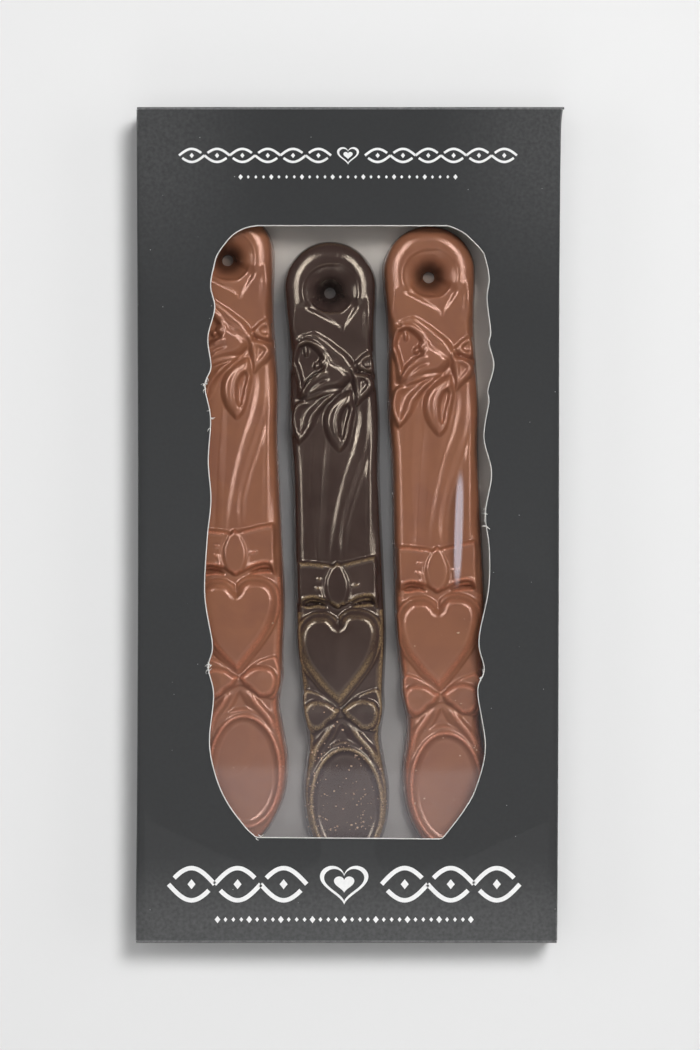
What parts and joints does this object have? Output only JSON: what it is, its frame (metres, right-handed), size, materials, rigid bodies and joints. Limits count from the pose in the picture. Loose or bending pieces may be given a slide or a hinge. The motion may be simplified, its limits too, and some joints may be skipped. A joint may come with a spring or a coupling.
{
  "type": "boxed chocolate love spoons",
  "caption": "Flat window carton with folding end lids, tucks and dust flaps, holding carved love spoons moulded in chocolate in a formed tray behind clear film.",
  "frame": {"origin": "middle of the outer face of the carton's back panel, on the surface that it lies on", "axes": "+X across the carton to the right as seen from the front, +Y towards its top end, +Z out of its front face"},
  "size_m": [0.1102, 0.218, 0.016],
  "materials": {
    "printed_board": "dark grey print under a matt laminate, white cut edges",
    "clear_film": "clear glossy film",
    "tray_sheet": "grey formed sheet, satin",
    "milk_chocolate": "moulded milk chocolate, soft gloss",
    "dark_chocolate": "moulded dark chocolate, soft gloss"
  },
  "bodies": {
    "carton": {"front_panel": "printed_board", "back_panel": "printed_board", "left_side_panel": "printed_board", "right_side_panel": "printed_board", "glue_flap": "printed_board", "window_film": "clear_film", "spoon_tray": "tray_sheet"},
    "top_lid": {"top_lid": "printed_board"},
    "top_tuck": {"top_tuck": "printed_board"},
    "top_dust_flap_left": {"top_dust_flap_left": "printed_board"},
    "top_dust_flap_right": {"top_dust_flap_right": "printed_board"},
    "bottom_lid": {"bottom_lid": "printed_board"},
    "bottom_tuck": {"bottom_tuck": "printed_board"},
    "bottom_dust_flap_left": {"bottom_dust_flap_left": "printed_board"},
    "bottom_dust_flap_right": {"bottom_dust_flap_right": "printed_board"},
    "left_spoon": {"left_spoon": "milk_chocolate"},
    "middle_spoon": {"middle_spoon": "dark_chocolate"},
    "right_spoon": {"right_spoon": "milk_chocolate"}
  },
  "joints": [
    {"name": "top_lid_fold", "type": "hinge", "parent": "carton", "child": "top_lid", "pos_m": [0, 0.109, 0.016], "axis": [1, 0, 0], "range_deg": [0, 120]},
    {"name": "top_tuck_fold", "type": "hinge", "parent": "top_lid", "child": "top_tuck", "pos_m": [0, 0.1085, 0.0014], "axis": [-1, 0, 0], "range_deg": [0, 66]},
    {"name": "top_dust_fold_left", "type": "hinge", "parent": "carton", "child": "top_dust_flap_left", "pos_m": [-0.05505, 0.1083, 0.009], "axis": [0, 0, 1], "range_deg": [0, 12]},
    {"name": "top_dust_fold_right", "type": "hinge", "parent": "carton", "child": "top_dust_flap_right", "pos_m": [0.05505, 0.1083, 0.009], "axis": [0, 0, -1], "range_deg": [0, 12]},
    {"name": "bottom_lid_fold", "type": "hinge", "parent": "carton", "child": "bottom_lid", "pos_m": [0, -0.109, 0.016], "axis": [-1, 0, 0], "range_deg": [0, 120]},
    {"name": "bottom_tuck_fold", "type": "hinge", "parent": "bottom_lid", "child": "bottom_tuck", "pos_m": [0, -0.1085, 0.0014], "axis": [1, 0, 0], "range_deg": [0, 66]},
    {"name": "bottom_dust_fold_left", "type": "hinge", "parent": "carton", "child": "bottom_dust_flap_left", "pos_m": [-0.05505, -0.1083, 0.009], "axis": [0, 0, -1], "range_deg": [0, 12]},
    {"name": "bottom_dust_fold_right", "type": "hinge", "parent": "carton", "child": "bottom_dust_flap_right", "pos_m": [0.05505, -0.1083, 0.009], "axis": [0, 0, 1], "range_deg": [0, 12]},
    {"name": "left_spoon_slide", "type": "slide", "parent": "carton", "child": "left_spoon", "axis": [-0.0335, 0.9994, 0], "range_m": [-0.0128, 0.004]},
    {"name": "middle_spoon_slide", "type": "slide", "parent": "carton", "child": "middle_spoon", "axis": [-0.0314, 0.9995, 0], "range_m": [-0.0042, 0.0126]},
    {"name": "right_spoon_slide", "type": "slide", "parent": "carton", "child": "right_spoon", "axis": [-0.0328, 0.9995, 0], "range_m": [-0.0083, 0.0085]}
  ],
  "couplings": [
    {"joint": "top_tuck_fold", "follows": "top_lid_fold", "ratio": 0.55},
    {"joint": "top_dust_fold_left", "follows": "top_lid_fold", "ratio": 0.1},
    {"joint": "top_dust_fold_right", "follows": "top_lid_fold", "ratio": 0.1},
    {"joint": "bottom_tuck_fold", "follows": "bottom_lid_fold", "ratio": 0.55},
    {"joint": "bottom_dust_fold_left", "follows": "bottom_lid_fold", "ratio": 0.1},
    {"joint": "bottom_dust_fold_right", "follows": "bottom_lid_fold", "ratio": 0.1}
  ]
}
